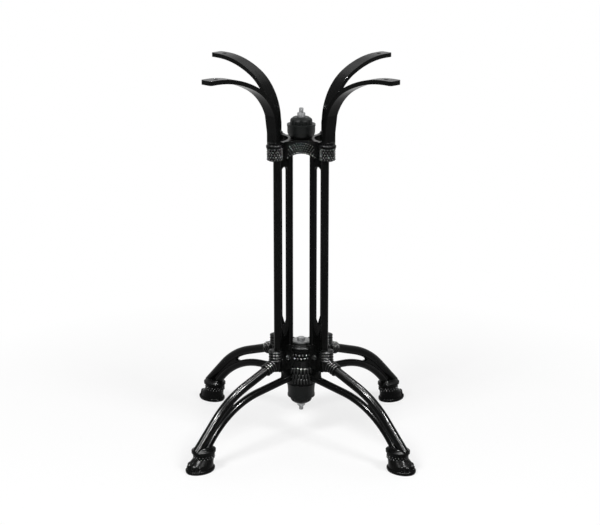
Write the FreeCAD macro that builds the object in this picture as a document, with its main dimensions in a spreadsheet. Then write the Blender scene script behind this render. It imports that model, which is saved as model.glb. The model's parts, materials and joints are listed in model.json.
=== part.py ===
import FreeCAD, Part
import math
import os
import re

import Sketcher

# A cast table base with four arms and four legs. Four equal castings stand in the vertical planes at
# 45 degrees to X and Y and close around the Z axis. A finial, a bolt and a nut draw them together at
# the upper hub and again at the lower hub. Lengths are in millimetres, angles in degrees, +Z is up and
# the floor is at Z = 0.

Vector = FreeCAD.Vector
Rotation = FreeCAD.Rotation
Placement = FreeCAD.Placement

UP = Vector(0, 0, 1)
SEAMS = {"front": Vector(1, -1, 0), "back": Vector(1, 1, 0)}
QUARTER_TURN = 90.0
SEAM_TURN = QUARTER_TURN / 2
FULL_TURN = 360.0
HEX_SIDES = 6
RING_COUNT = 4
GROOVE_COUNT = 4
SCALLOP_COUNT = 8
BEAD_FLANK = 0.25

# Driving sizes. Offsets are distances from the Z axis in the plane of a casting.
DRIVING = {
    "base_height": 720,
    "seam_gap": 0.05,
    # strap arm
    "arm_root_offset": 70.5,
    "arm_root_depth": 10,
    "arm_root_width": 25,
    "arm_tip_width": 27,
    "arm_thickness": 8,
    "arm_first_bend": 100,
    "arm_first_turn": 62,
    "arm_flare_turn": 20,
    "arm_second_bend": 198,
    "arm_flat_length": 16.5,
    "arm_tip_corner": 5,
    "arm_hole_margin": 24,
    "arm_hole_diameter": 9,
    "shoulder_reach": 16,
    "shoulder_rise": 14,
    "shoulder_width": 14,
    # twin-bar column
    "outer_bar_offset": 62.4,
    "outer_bar_diameter": 14.2,
    "inner_bar_offset": 30.9,
    "inner_bar_diameter": 12.8,
    "column_web_thickness": 8,
    "slot_top_drop": 66,
    "slot_bottom_rise": 106,
    "slot_taper": 15,
    "slot_tip_width": 5,
    # collar between column and arm, and ringed elbow between column and leg
    "collar_offset": 68,
    "collar_height": 40,
    "collar_drop": 12,
    "collar_neck_radius": 13.2,
    "collar_bead": 2.8,
    "collar_foot_bead": 8,
    "collar_foot_swell": 0.6,
    "collar_rim_bead": 8,
    "collar_neck_gap": 4,
    "collar_taper": 5,
    "elbow_rise": 60,
    "elbow_height": 22,
    "elbow_root": 20,
    "elbow_radius": 13,
    "elbow_groove": 1.7,
    # star hubs
    "upper_seat_drop": 19.4,
    "upper_hub_depth": 24.5,
    "lower_seat_level": 105,
    "lower_hub_depth": 80,
    "lower_hub_rise": 6,
    "hub_floor": 10,
    "hub_arch_radius": 43,
    "star_hollow_offset": 69.5,
    "star_hollow_radius": 45.5,
    "lower_web_height": 43.5,
    "bowl_radius": 33,
    "bowl_bottom_radius": 27,
    "bowl_height": 40,
    "drum_radius": 29.5,
    "drum_bead": 3.5,
    "drum_bead_height": 10,
    "drum_crown": 3,
    "gadroon_groove": 2,
    "gadroon_gap": 1.8,
    "spigot_radius": 12,
    "spigot_height": 13,
    # wishbone leg
    "upper_rod_diameter": 17.4,
    "upper_rod_offset": 70,
    "upper_rod_rise": 55,
    "upper_rod_slope": 19,
    "upper_rod_run": 82.5,
    "upper_rod_bend": 190,
    "upper_rod_end_slope": 46,
    "lower_rod_diameter": 14.5,
    "lower_rod_offset": 28,
    "lower_rod_rise": 17.4,
    "lower_rod_slope": 6,
    "lower_rod_run": 87.5,
    "lower_rod_bend": 181,
    "lower_rod_end_slope": 50,
    "leg_web_thickness": 8,
    "upper_web_turn": 5,
    "upper_fork_turn": 12,
    "lower_web_turn": 14,
    "lower_fork_turn": 23.5,
    "leg_slot_start": 58,
    "leg_slot_depth": 8,
    "leg_collar_radius": 11.5,
    "leg_collar_start": 5.5,
    "leg_collar_length": 22,
    # hoof foot
    "foot_length": 60,
    "foot_width": 46,
    "foot_toe_shift": 9,
    "foot_heel_shift": 5,
    "foot_lean": 0.8,
    "foot_plate": 5,
    "foot_neck_length": 40,
    "foot_neck_width": 35,
    "foot_neck_level": 24,
    "foot_ring_length": 48,
    "foot_ring_width": 41,
    "foot_ring_level": 37,
    "foot_ring_height": 10,
    "foot_ring_crest": 4,
    "toe_spread": 30,
    "toe_groove_width": 2.2,
    "toe_groove_depth": 2.5,
    # finial
    "finial_height": 40,
    "upper_finial_seat_radius": 17,
    "lower_finial_seat_radius": 27.2,
    "finial_cup_radius": 25.8,
    "finial_cup_level": 14,
    "finial_rim_radius": 26.4,
    "finial_rim_level": 23,
    "finial_rim_height": 4,
    "finial_cap_radius": 20.8,
    "finial_shoulder_radius": 19.2,
    "finial_shoulder_level": 36.5,
    "finial_cap_top_radius": 14.5,
    "finial_scallop_radius": 4.5,
    "finial_scallop_depth": 1.8,
    # clamp hardware
    "bolt_diameter": 8,
    "bolt_hole_clearance": 1,
    "bolt_protrusion": 9,
    "bolt_point": 1,
    "hex_width": 13,
    "bolt_head_height": 5.3,
    "nut_height": 6.5,
    "thread_clearance": 0.2,
    "washer_diameter": 16,
    "washer_thickness": 1.6,
    "clamp_plate_diameter": 36,
    "clamp_plate_thickness": 3,
    "fit_clearance": 0.3,
}

# Sizes that follow from the driving ones.
DERIVED = {
    "arm_half": "arm_thickness / 2",
    "arm_rise": "arm_first_bend * sin(arm_first_turn)"
                " + arm_second_bend * (1 - sin(arm_first_turn)) + arm_half",
    "arm_root_level": "base_height - arm_rise",
    "arm_centre_offset": "arm_root_offset + arm_first_bend",
    "arm_bend_offset": "arm_centre_offset - arm_first_bend * cos(arm_first_turn)",
    "arm_flat_offset": "arm_bend_offset + arm_second_bend * cos(arm_first_turn)",
    "arm_tip_offset": "arm_flat_offset + arm_flat_length",
    "arm_hole_offset": "arm_tip_offset - arm_hole_margin",
    "collar_top": "arm_root_level - collar_drop",
    "collar_bottom": "collar_top - collar_height",
    "collar_neck_level": "collar_height - collar_taper",
    "collar_rim_level": "collar_neck_level - collar_neck_gap - collar_rim_bead",
    "upper_seat_level": "arm_root_level - upper_seat_drop",
    "upper_crown_level": "upper_seat_level - upper_hub_depth",
    "lower_crown_level": "lower_seat_level + lower_hub_depth",
    "slot_top_level": "arm_root_level - slot_top_drop",
    "slot_bottom_level": "lower_seat_level + slot_bottom_rise",
    "slot_inner": "inner_bar_offset + inner_bar_diameter / 2",
    "slot_outer": "outer_bar_offset - outer_bar_diameter / 2",
    "slot_radius": "(slot_outer - slot_inner) / 2",
    "slot_middle": "(slot_outer + slot_inner) / 2",
    "elbow_bottom": "lower_seat_level + elbow_rise",
    "star_centre": f"star_hollow_offset * cos({SEAM_TURN})",
    "star_seam": f"(star_hollow_offset - star_hollow_radius) * cos({SEAM_TURN})",
    "star_point": "star_centre - sqrt(star_hollow_radius ^ 2 - (outer_bar_offset - star_centre) ^ 2)",
    "lower_web_level": "lower_crown_level - lower_web_height",
    "bowl_top": "lower_seat_level + bowl_height",
    "bowl_shoulder": "bowl_top - bowl_height / 3",
    "drum_top": "lower_crown_level",
    "bolt_hole_radius": "(bolt_diameter + bolt_hole_clearance) / 2",
    "well_radius": "clamp_plate_diameter / 2 + fit_clearance",
    "upper_clamp_floor": "hub_floor",
    "lower_clamp_floor": "drum_top + drum_crown - lower_seat_level",
    "web_root": "drum_radius / 2",
    "lower_rod_level": "lower_seat_level + lower_rod_rise",
    "leg_slot_bottom": "lower_rod_level - (leg_slot_start - lower_rod_offset) * tan(lower_rod_slope)",
    "leg_slot_top": "elbow_bottom - elbow_root",
    "leg_slot_bend": "((leg_slot_top - leg_slot_bottom) ^ 2 / 4 + leg_slot_depth ^ 2) / (2 * leg_slot_depth)",
    "upper_rod_level": "lower_seat_level + upper_rod_rise",
    "upper_bend_offset": "upper_rod_offset + upper_rod_run * cos(upper_rod_slope)",
    "upper_bend_level": "upper_rod_level - upper_rod_run * sin(upper_rod_slope)",
    "upper_drop_offset": "upper_bend_offset"
                         " + upper_rod_bend * (sin(upper_rod_end_slope) - sin(upper_rod_slope))",
    "upper_drop_level": "upper_bend_level"
                        " - upper_rod_bend * (cos(upper_rod_slope) - cos(upper_rod_end_slope))",
    "upper_end_offset": "upper_drop_offset"
                        " + (upper_drop_level - foot_ring_level) / tan(upper_rod_end_slope)",
    "lower_bend_offset": "lower_rod_offset + lower_rod_run * cos(lower_rod_slope)",
    "lower_bend_level": "lower_rod_level - lower_rod_run * sin(lower_rod_slope)",
    "lower_drop_offset": "lower_bend_offset"
                         " + lower_rod_bend * (sin(lower_rod_end_slope) - sin(lower_rod_slope))",
    "lower_drop_level": "lower_bend_level"
                        " - lower_rod_bend * (cos(lower_rod_slope) - cos(lower_rod_end_slope))",
    "lower_end_offset": "lower_drop_offset"
                        " + (lower_drop_level - foot_ring_level) / tan(lower_rod_end_slope)",
    "foot_ring_offset": "(upper_end_offset + lower_end_offset) / 2 - foot_heel_shift",
    "foot_offset": "foot_ring_offset + foot_toe_shift",
    "foot_middle_level": "(foot_plate + foot_neck_level) / 2",
    "foot_middle_length": "(foot_length + foot_neck_length) / 2",
    "foot_middle_width": "(foot_width + foot_neck_width) / 2",
    "finial_rim_top": "finial_rim_level + finial_rim_height",
    "finial_cap_middle": "(finial_rim_top + finial_height) / 2",
    "finial_cup_inset": "finial_cup_radius - upper_finial_seat_radius",
    "finial_cup_bend": "(finial_cup_inset ^ 2 + finial_cup_level ^ 2) / (2 * finial_cup_inset)",
    "bolt_reach": "finial_height + washer_thickness + nut_height + bolt_protrusion",
    "hex_corner": f"hex_width / 2 / cos({FULL_TURN / HEX_SIDES / 2})",
}

doc = FreeCAD.newDocument("four_star_table_base")
sheet = doc.addObject("Spreadsheet::Sheet", "Sizes")
ROWS = list(DRIVING.items()) + [(name, "=" + formula) for name, formula in DERIVED.items()]
for row, (alias, content) in enumerate(ROWS, start=1):
    sheet.set(f"A{row}", alias)
    sheet.set(f"B{row}", str(content))
    sheet.setAlias(f"B{row}", alias)
doc.recompute()

ALIASES = {alias for alias, content in ROWS}


def value(formula):
    """The number that a formula of sheet names gives."""
    return float(sheet.evalExpression(str(formula)))


def linked(formula):
    """The same formula as other objects of the document have to write it."""
    return re.sub(r"[a-z_]+", lambda word: "Sizes." * (word[0] in ALIASES) + word[0], str(formula))


def bind(thing, **formulas):
    """Ties properties of a document object to formulas of sheet names."""
    for name, formula in formulas.items():
        thing.setExpression(name.replace("__", "."), linked(formula))


def new_body(label):
    body = doc.addObject("PartDesign::Body", label)
    body.Label = label
    return body


def origin_feature(body, role):
    return next(item for item in body.Origin.OriginFeatures if item.Role == role)


def new_sketch(body, name, role="XZ_Plane", shift=(0, 0, 0), turn=0, turn_axis=UP):
    """A sketch on one of the body's origin planes, shifted and turned within that plane's own axes."""
    sketch = body.newObject("Sketcher::SketchObject", name)
    sketch.AttachmentSupport = [(origin_feature(body, role), "")]
    sketch.MapMode = "FlatFace"
    origin = Vector(*(value(part) for part in shift))
    sketch.AttachmentOffset = Placement(origin, Rotation(turn_axis, value(turn)))
    for axis, formula in zip("xyz", shift):
        sketch.setExpression(f"AttachmentOffset.Base.{axis}", linked(formula))
    if turn:
        sketch.setExpression("AttachmentOffset.Rotation.Angle", linked(turn))
    return sketch


def constrain(sketch, kind, formula, *place):
    index = sketch.addConstraint(Sketcher.Constraint(kind, *place, value(formula)))
    sketch.setExpression(f"Constraints[{index}]", linked(formula))


def side(start, end, radius):
    """A straight side, or an arc of that radius: a positive one turns left, a negative one right."""
    if radius is None:
        return Part.LineSegment(start, end), 1, 2
    reach = abs(value(radius))
    left = value(radius) > 0
    chord = end - start
    lift = math.sqrt(max(reach ** 2 - chord.Length ** 2 / 4, 0))
    across = Vector(-chord.y, chord.x, 0).normalize()
    centre = (start + end) / 2 + across * (lift if left else -lift)
    first, last = (start, end) if left else (end, start)
    angles = [math.atan2(point.y - centre.y, point.x - centre.x) for point in (first, last)]
    arc = Part.ArcOfCircle(Part.Circle(centre, UP, reach), *angles)
    return (arc, 1, 2) if left else (arc, 2, 1)


def draw(sketch, corners, arcs=None, closed=True):
    """Draws sides through the corners, each a pair of formulas. arcs gives the radius of the sides that are
    round, by the number of the corner where they start."""
    arcs = arcs or {}
    points = [Vector(value(across), value(up), 0) for across, up in corners]
    count = len(points) if closed else len(points) - 1
    sides = []
    for number in range(count):
        shape, head, tail = side(points[number], points[(number + 1) % len(points)], arcs.get(number))
        sides.append((sketch.addGeometry(shape, False), head, tail))
    for number, (item, head, tail) in enumerate(sides):
        across, up = corners[number]
        constrain(sketch, "DistanceX", across, -1, 1, item, head)
        constrain(sketch, "DistanceY", up, -1, 1, item, head)
        if closed or number + 1 < count:
            follower, next_head, _ = sides[(number + 1) % count]
            sketch.addConstraint(Sketcher.Constraint("Coincident", item, tail, follower, next_head))
        if number in arcs:
            reach = arcs[number]
            constrain(sketch, "Radius", reach if value(reach) > 0 else f"-({reach})", item)
    if not closed:
        item, _, tail = sides[-1]
        across, up = corners[-1]
        constrain(sketch, "DistanceX", across, -1, 1, item, tail)
        constrain(sketch, "DistanceY", up, -1, 1, item, tail)
    return sketch


def draw_circle(sketch, diameter, across=0, up=0):
    centre = Vector(value(across), value(up), 0)
    item = sketch.addGeometry(Part.Circle(centre, UP, value(diameter) / 2), False)
    constrain(sketch, "DistanceX", across, -1, 1, item, 3)
    constrain(sketch, "DistanceY", up, -1, 1, item, 3)
    constrain(sketch, "Diameter", diameter, item)
    return sketch


def draw_ellipse(sketch, length, width):
    """An ellipse around the sketch's own origin, long along its first axis, which starts at its far end."""
    heel, flank = Vector(-value(length) / 2, 0, 0), Vector(0, -value(width) / 2, 0)
    item = sketch.addGeometry(Part.Ellipse(heel, flank, Vector(0, 0, 0)), False)
    sketch.exposeInternalGeometry(item)
    sketch.addConstraint(Sketcher.Constraint("Coincident", item, 3, -1, 1))
    sketch.addConstraint(Sketcher.Constraint("Horizontal", item + 1))
    constrain(sketch, "Distance", length, item + 1)
    constrain(sketch, "Distance", width, item + 2)
    return sketch


def symmetric_pad(body, sketch, length):
    pad = body.newObject("PartDesign::Pad", sketch.Name + "_pad")
    pad.Profile = sketch
    pad.SideType = "Symmetric"
    bind(pad, Length=length)
    return pad


def upward_pad(body, sketch, length):
    pad = body.newObject("PartDesign::Pad", sketch.Name + "_pad")
    pad.Profile = sketch
    bind(pad, Length=length)
    return pad


def through_pocket(body, sketch):
    pocket = body.newObject("PartDesign::Pocket", sketch.Name + "_pocket")
    pocket.Profile = sketch
    pocket.Type = "ThroughAll"
    pocket.SideType = "Symmetric"
    return pocket


def revolve(body, sketch, axis="V_Axis"):
    turned = body.newObject("PartDesign::Revolution", sketch.Name + "_turned")
    turned.Profile = sketch
    turned.ReferenceAxis = (sketch, [axis])
    turned.Angle = FULL_TURN
    return turned


def rod(body, name, corners, arcs, diameter):
    """A round rod along an open path in the plane of the casting."""
    path = draw(new_sketch(body, name + "_path"), corners, arcs, closed=False)
    section = body.newObject("Sketcher::SketchObject", name + "_section")
    section.AttachmentSupport = [(path, "Edge1")]
    section.MapMode = "NormalToEdge"
    draw_circle(section, diameter)
    pipe = body.newObject("PartDesign::AdditivePipe", name)
    pipe.Profile = section
    pipe.Spine = (path, [f"Edge{number + 1}" for number in range(len(corners) - 1)])
    return pipe


def upright_cylinder(body, name, radius, offset, bottom, top, kind="Additive"):
    cylinder = body.newObject(f"PartDesign::{kind}Cylinder", name)
    bind(cylinder, Radius=radius, Height=f"({top}) - ({bottom})")
    bind(cylinder, Placement__Base__x=offset, Placement__Base__z=bottom)
    return cylinder


def loft(body, name, sections):
    """A ruled loft through ellipses, each given by its offset, level, length and width."""
    sketches = []
    for number, (offset, level, length, width) in enumerate(sections):
        sketch = new_sketch(body, f"{name}_section_{number}", "XY_Plane", (offset, 0, level))
        sketches.append(draw_ellipse(sketch, length, width))
    skin = body.newObject("PartDesign::AdditiveLoft", name)
    skin.Profile = sketches[0]
    skin.Sections = sketches[1:]
    skin.Ruled = True
    return skin


def bead(groove, crest, start, length):
    """The corners of one ring bead: out of its groove, along its crest and back again."""
    return [
        (groove, start),
        (crest, f"{start} + {BEAD_FLANK} * ({length})"),
        (crest, f"{start} + {1 - BEAD_FLANK} * ({length})"),
        (groove, f"{start} + {length}"),
    ]


def add_hub_plate(body, name, bottom, top, arch_level):
    """A quarter of a four-pointed star with hollow sides, vaulted along both seams."""
    plan = new_sketch(body, name + "_plan", "XY_Plane", (0, 0, bottom))
    draw(
        plan,
        [
            (0, 0),
            ("star_seam", "-star_seam"),
            ("outer_bar_offset", "-star_point"),
            ("outer_bar_offset", "star_point"),
            ("star_seam", "star_seam"),
        ],
        {1: "-star_hollow_radius", 3: "-star_hollow_radius"},
    )
    upward_pad(body, plan, f"({top}) - ({bottom})")
    for seam, direction in SEAMS.items():
        vault = body.newObject("PartDesign::SubtractiveCylinder", f"{name}_{seam}_vault")
        vault.Placement = Placement(Vector(0, 0, 0), Rotation(UP, direction))
        bind(vault, Radius="hub_arch_radius", Height="2 * star_hollow_offset", Placement__Base__z=arch_level)


def add_upper_hub(body):
    add_hub_plate(body, "upper_hub", "collar_bottom", "upper_seat_level",
                  "upper_crown_level - hub_arch_radius")
    upright_cylinder(body, "upper_spigot", "spigot_radius", 0, "upper_crown_level",
                     "upper_seat_level + spigot_height")
    upright_cylinder(body, "upper_well", "well_radius", 0, "collar_bottom", "upper_seat_level - hub_floor",
                     "Subtractive")


def add_lower_hub(body):
    add_hub_plate(body, "lower_hub", "lower_web_level", "lower_crown_level + lower_hub_rise",
                  "lower_crown_level + hub_arch_radius")
    bowl = new_sketch(body, "bowl")
    corners = [
        (0, "lower_seat_level"),
        ("bowl_bottom_radius", "lower_seat_level"),
        ("bowl_radius", "bowl_shoulder"),
        ("bowl_radius", "bowl_top"),
        ("drum_radius", "bowl_top + drum_bead_height"),
    ]
    rim_level = "drum_top - drum_bead_height"
    corners += bead("drum_radius", "drum_radius + drum_bead", rim_level, "drum_bead_height")
    corners.append(("clamp_plate_diameter / 2", "drum_top + drum_crown"))
    corners.append((0, "drum_top + drum_crown"))
    draw(bowl, corners)
    revolve(body, bowl)
    add_gadroons(body)
    upright_cylinder(body, "lower_spigot", "spigot_radius", 0, "lower_seat_level - spigot_height",
                     "lower_seat_level + hub_floor")


def add_gadroons(body):
    """Four grooves part the bowl's flank into lobes, spaced evenly over the quarter."""
    step = QUARTER_TURN / GROOVE_COUNT
    spread = step * (GROOVE_COUNT - 1)
    cut = new_sketch(body, "gadroon", turn=spread / 2, turn_axis=Vector(0, 1, 0))
    draw(
        cut,
        [
            ("bowl_bottom_radius - gadroon_groove", "lower_seat_level"),
            ("bowl_bottom_radius + bowl_radius", "lower_seat_level"),
            ("bowl_bottom_radius + bowl_radius", "bowl_top"),
            ("bowl_radius - gadroon_groove", "bowl_top"),
            ("bowl_radius - gadroon_groove", "bowl_shoulder"),
        ],
    )
    groove = body.newObject("PartDesign::Pocket", "gadroon_groove_cut")
    groove.Profile = cut
    groove.SideType = "Symmetric"
    bind(groove, Length="gadroon_gap")
    pattern = body.newObject("PartDesign::PolarPattern", "gadroons")
    pattern.Originals = [groove]
    pattern.Axis = (origin_feature(body, "Z_Axis"), [""])
    pattern.Angle = spread
    pattern.Occurrences = GROOVE_COUNT
    body.Tip = pattern


def add_column(body):
    upright_cylinder(body, "outer_bar", "outer_bar_diameter / 2", "outer_bar_offset", "elbow_bottom",
                     "collar_bottom + collar_height / 2")
    upright_cylinder(body, "inner_bar", "inner_bar_diameter / 2", "inner_bar_offset", "bowl_top",
                     "upper_seat_level - hub_floor")
    web = new_sketch(body, "column_web")
    draw(
        web,
        [
            ("inner_bar_offset", "elbow_bottom"),
            ("outer_bar_offset", "elbow_bottom"),
            ("outer_bar_offset", "upper_seat_level - hub_floor"),
            ("inner_bar_offset", "upper_seat_level - hub_floor"),
        ],
    )
    draw(
        web,
        [
            ("slot_middle - slot_tip_width / 2", "slot_bottom_level"),
            ("slot_middle + slot_tip_width / 2", "slot_bottom_level"),
            ("slot_outer", "slot_bottom_level + slot_taper"),
            ("slot_outer", "slot_top_level - slot_radius"),
            ("slot_middle", "slot_top_level"),
            ("slot_inner", "slot_top_level - slot_radius"),
            ("slot_inner", "slot_bottom_level + slot_taper"),
        ],
        {3: "slot_radius", 4: "slot_radius"},
    )
    symmetric_pad(body, web, "column_web_thickness")


def add_collar(body):
    """The turned capital that carries the arm: foot bead, waist, rim bead, and a taper into the arm."""
    profile = new_sketch(body, "collar", shift=("collar_offset", "collar_bottom", 0))
    neck = "collar_neck_radius"
    corners = [(0, 0), ("collar_neck_radius - collar_bead", 0)]
    corners += bead(neck, "collar_neck_radius + collar_foot_swell", 0, "collar_foot_bead")[1:]
    corners += bead(neck, "collar_neck_radius + collar_bead", "collar_rim_level", "collar_rim_bead")
    corners.append((neck, "collar_neck_level"))
    corners.append(("arm_root_depth / 2", "collar_height"))
    corners.append((0, "collar_height"))
    revolve(body, draw(profile, corners))


def add_shoulder(body):
    """The hollow-sided gusset that runs from the arm's root down onto the hub's top."""
    gusset = new_sketch(body, "shoulder")
    arm_face = "arm_root_offset - arm_root_depth / 2"
    draw(
        gusset,
        [
            (f"{arm_face} - shoulder_reach", "upper_seat_level - hub_floor"),
            ("arm_root_offset", "upper_seat_level - hub_floor"),
            ("arm_root_offset", "upper_seat_level + shoulder_rise"),
            (arm_face, "upper_seat_level + shoulder_rise"),
            (f"{arm_face} - shoulder_reach", "upper_seat_level"),
        ],
        {3: "-shoulder_reach"},
    )
    symmetric_pad(body, gusset, "shoulder_width")


def add_elbow(body):
    """Ring beads at the foot of the column, above a tapered root."""
    profile = new_sketch(body, "elbow", shift=("collar_offset", "elbow_bottom", 0))
    pitch = f"elbow_height / {RING_COUNT}"
    corners = [(0, "-elbow_root"), ("elbow_radius - 3 * elbow_groove", "-elbow_root")]
    for number in range(RING_COUNT):
        corners += bead("elbow_radius - elbow_groove", "elbow_radius", f"{number} * {pitch}", pitch)[:-1]
    corners.append(("elbow_radius - 2 * elbow_groove", "elbow_height"))
    corners.append((0, "elbow_height"))
    revolve(body, draw(profile, corners))


def rod_point(rod_name, slope):
    """The point where the bent stretch of a rod slopes that much."""
    return (
        f"{rod_name}_bend_offset + {rod_name}_rod_bend * (sin({slope}) - sin({rod_name}_rod_slope))",
        f"{rod_name}_bend_level - {rod_name}_rod_bend * (cos({rod_name}_rod_slope) - cos({slope}))",
    )


def add_leg(body):
    for name in ("lower", "upper"):
        rod(
            body,
            f"{name}_rod",
            [
                (f"{name}_rod_offset", f"{name}_rod_level"),
                (f"{name}_bend_offset", f"{name}_bend_level"),
                (f"{name}_drop_offset", f"{name}_drop_level"),
                (f"{name}_end_offset", "foot_ring_level"),
            ],
            {1: f"-{name}_rod_bend"},
            f"{name}_rod_diameter",
        )
    add_leg_web(body)
    add_elbow_web(body)
    add_leg_collar(body)


def add_leg_web(body):
    """The recessed web between the rods, from the fork of the slot down to the foot."""
    upper_start = rod_point("upper", "upper_rod_slope + upper_web_turn")
    lower_start = rod_point("lower", "lower_rod_slope + lower_web_turn")
    upper_fork = rod_point("upper", "upper_rod_slope + upper_fork_turn")
    lower_fork = rod_point("lower", "lower_rod_slope + lower_fork_turn")
    fork = tuple(f"({above} + {below}) / 2" for above, below in zip(upper_fork, lower_fork))
    web = new_sketch(body, "leg_web")
    draw(
        web,
        [
            fork,
            lower_start,
            ("lower_drop_offset", "lower_drop_level"),
            ("lower_end_offset", "foot_ring_level"),
            ("upper_end_offset", "foot_ring_level"),
            ("upper_drop_offset", "upper_drop_level"),
            upper_start,
        ],
        {1: "-lower_rod_bend", 5: "upper_rod_bend"},
    )
    symmetric_pad(body, web, "leg_web_thickness")


def add_elbow_web(body):
    """The web that ties elbow, bowl and lower rod together, with the round end of the leg's slot."""
    web = new_sketch(body, "elbow_web")
    draw(
        web,
        [
            ("web_root", "lower_rod_level"),
            ("leg_slot_start", "leg_slot_bottom"),
            ("leg_slot_start", "leg_slot_top"),
            ("collar_offset", "elbow_bottom"),
            ("collar_offset", "elbow_bottom + elbow_height / 2"),
            ("web_root", "elbow_bottom + elbow_height / 2"),
        ],
        {1: "-leg_slot_bend"},
    )
    symmetric_pad(body, web, "column_web_thickness")


def add_leg_collar(body):
    """Ring beads around the root of the upper rod, square to the rod."""
    profile = new_sketch(body, "leg_collar", shift=("upper_rod_offset", "upper_rod_level", 0),
                         turn="-upper_rod_slope")
    pitch = f"leg_collar_length / {RING_COUNT}"
    corners = [("leg_collar_start", 0)]
    for number in range(RING_COUNT):
        ring = bead("leg_collar_radius - elbow_groove", "leg_collar_radius",
                    f"leg_collar_start + {number} * {pitch}", pitch)
        corners += [(along, out) for out, along in ring[number > 0:]]
    corners.append(("leg_collar_start + leg_collar_length", 0))
    revolve(body, draw(profile, corners), "H_Axis")


def add_foot(body):
    """A hoof: an oval plate, a waisted body that leans out to the toe, and a roll around the ankle."""
    loft(
        body,
        "foot_plate",
        [
            ("foot_offset", 0, "foot_length - foot_plate / 2", "foot_width - foot_plate / 2"),
            ("foot_offset", "foot_plate / 2", "foot_length", "foot_width"),
            ("foot_offset", "foot_plate", "foot_length", "foot_width"),
        ],
    )
    loft(
        body,
        "hoof",
        [
            ("foot_offset", "foot_plate", "foot_length - foot_plate", "foot_width - foot_plate"),
            ("foot_ring_offset + foot_toe_shift * foot_lean", "foot_middle_level", "foot_middle_length",
             "foot_middle_width"),
            ("foot_ring_offset", "foot_neck_level", "foot_neck_length", "foot_neck_width"),
        ],
    )
    ring_bottom = "foot_ring_level - foot_ring_height / 2"
    crest_bottom = "foot_ring_level - foot_ring_crest / 2"
    crest_top = "foot_ring_level + foot_ring_crest / 2"
    ring_top = "foot_ring_level + foot_ring_height / 2"
    loft(
        body,
        "ankle_roll",
        [
            ("foot_ring_offset", "foot_neck_level", "foot_neck_length", "foot_neck_width"),
            ("foot_ring_offset", ring_bottom, "foot_neck_length", "foot_neck_width"),
            ("foot_ring_offset", crest_bottom, "foot_ring_length", "foot_ring_width"),
            ("foot_ring_offset", crest_top, "foot_ring_length", "foot_ring_width"),
            ("foot_ring_offset", ring_top, "foot_neck_length", "foot_neck_width - foot_ring_height"),
        ],
    )


def oval_reach(length, width, turn):
    """How far an oval reaches from its middle in the direction that is turned that far from its length."""
    spread = f"(({width}) * cos({turn})) ^ 2 + (({length}) * sin({turn})) ^ 2"
    return f"({length}) * ({width}) / 2 / sqrt({spread})"


def add_toes(body):
    """Three grooves part the front of the hoof into toes."""
    for name, turn in (("left", "toe_spread"), ("middle", "0"), ("right", "-toe_spread")):
        groove = new_sketch(body, f"{name}_toe_groove", shift=("foot_offset", 0, 0), turn=turn,
                            turn_axis=Vector(0, 1, 0))
        sole = oval_reach("foot_length - foot_plate", "foot_width - foot_plate", turn)
        instep = oval_reach("foot_middle_length", "foot_middle_width", turn)
        draw(
            groove,
            [
                (f"{sole} - toe_groove_depth", "foot_plate"),
                ("foot_length", "foot_plate"),
                ("foot_length", "foot_neck_level"),
                ("foot_neck_length / 2 - foot_toe_shift", "foot_neck_level"),
                (f"{instep} - foot_toe_shift * (1 - foot_lean) - toe_groove_depth", "foot_middle_level"),
            ],
        )
        cut = body.newObject("PartDesign::Pocket", f"{name}_toe_cut")
        cut.Profile = groove
        cut.SideType = "Symmetric"
        bind(cut, Length="toe_groove_width")


def arm_point(bend, turn, shift):
    """A point of the first bend, turned that far from its root and shifted from the strap's middle."""
    reach = f"(arm_{bend}_bend + ({shift}))"
    return f"arm_centre_offset - {reach} * cos({turn})", f"arm_root_level + {reach} * sin({turn})"


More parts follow.
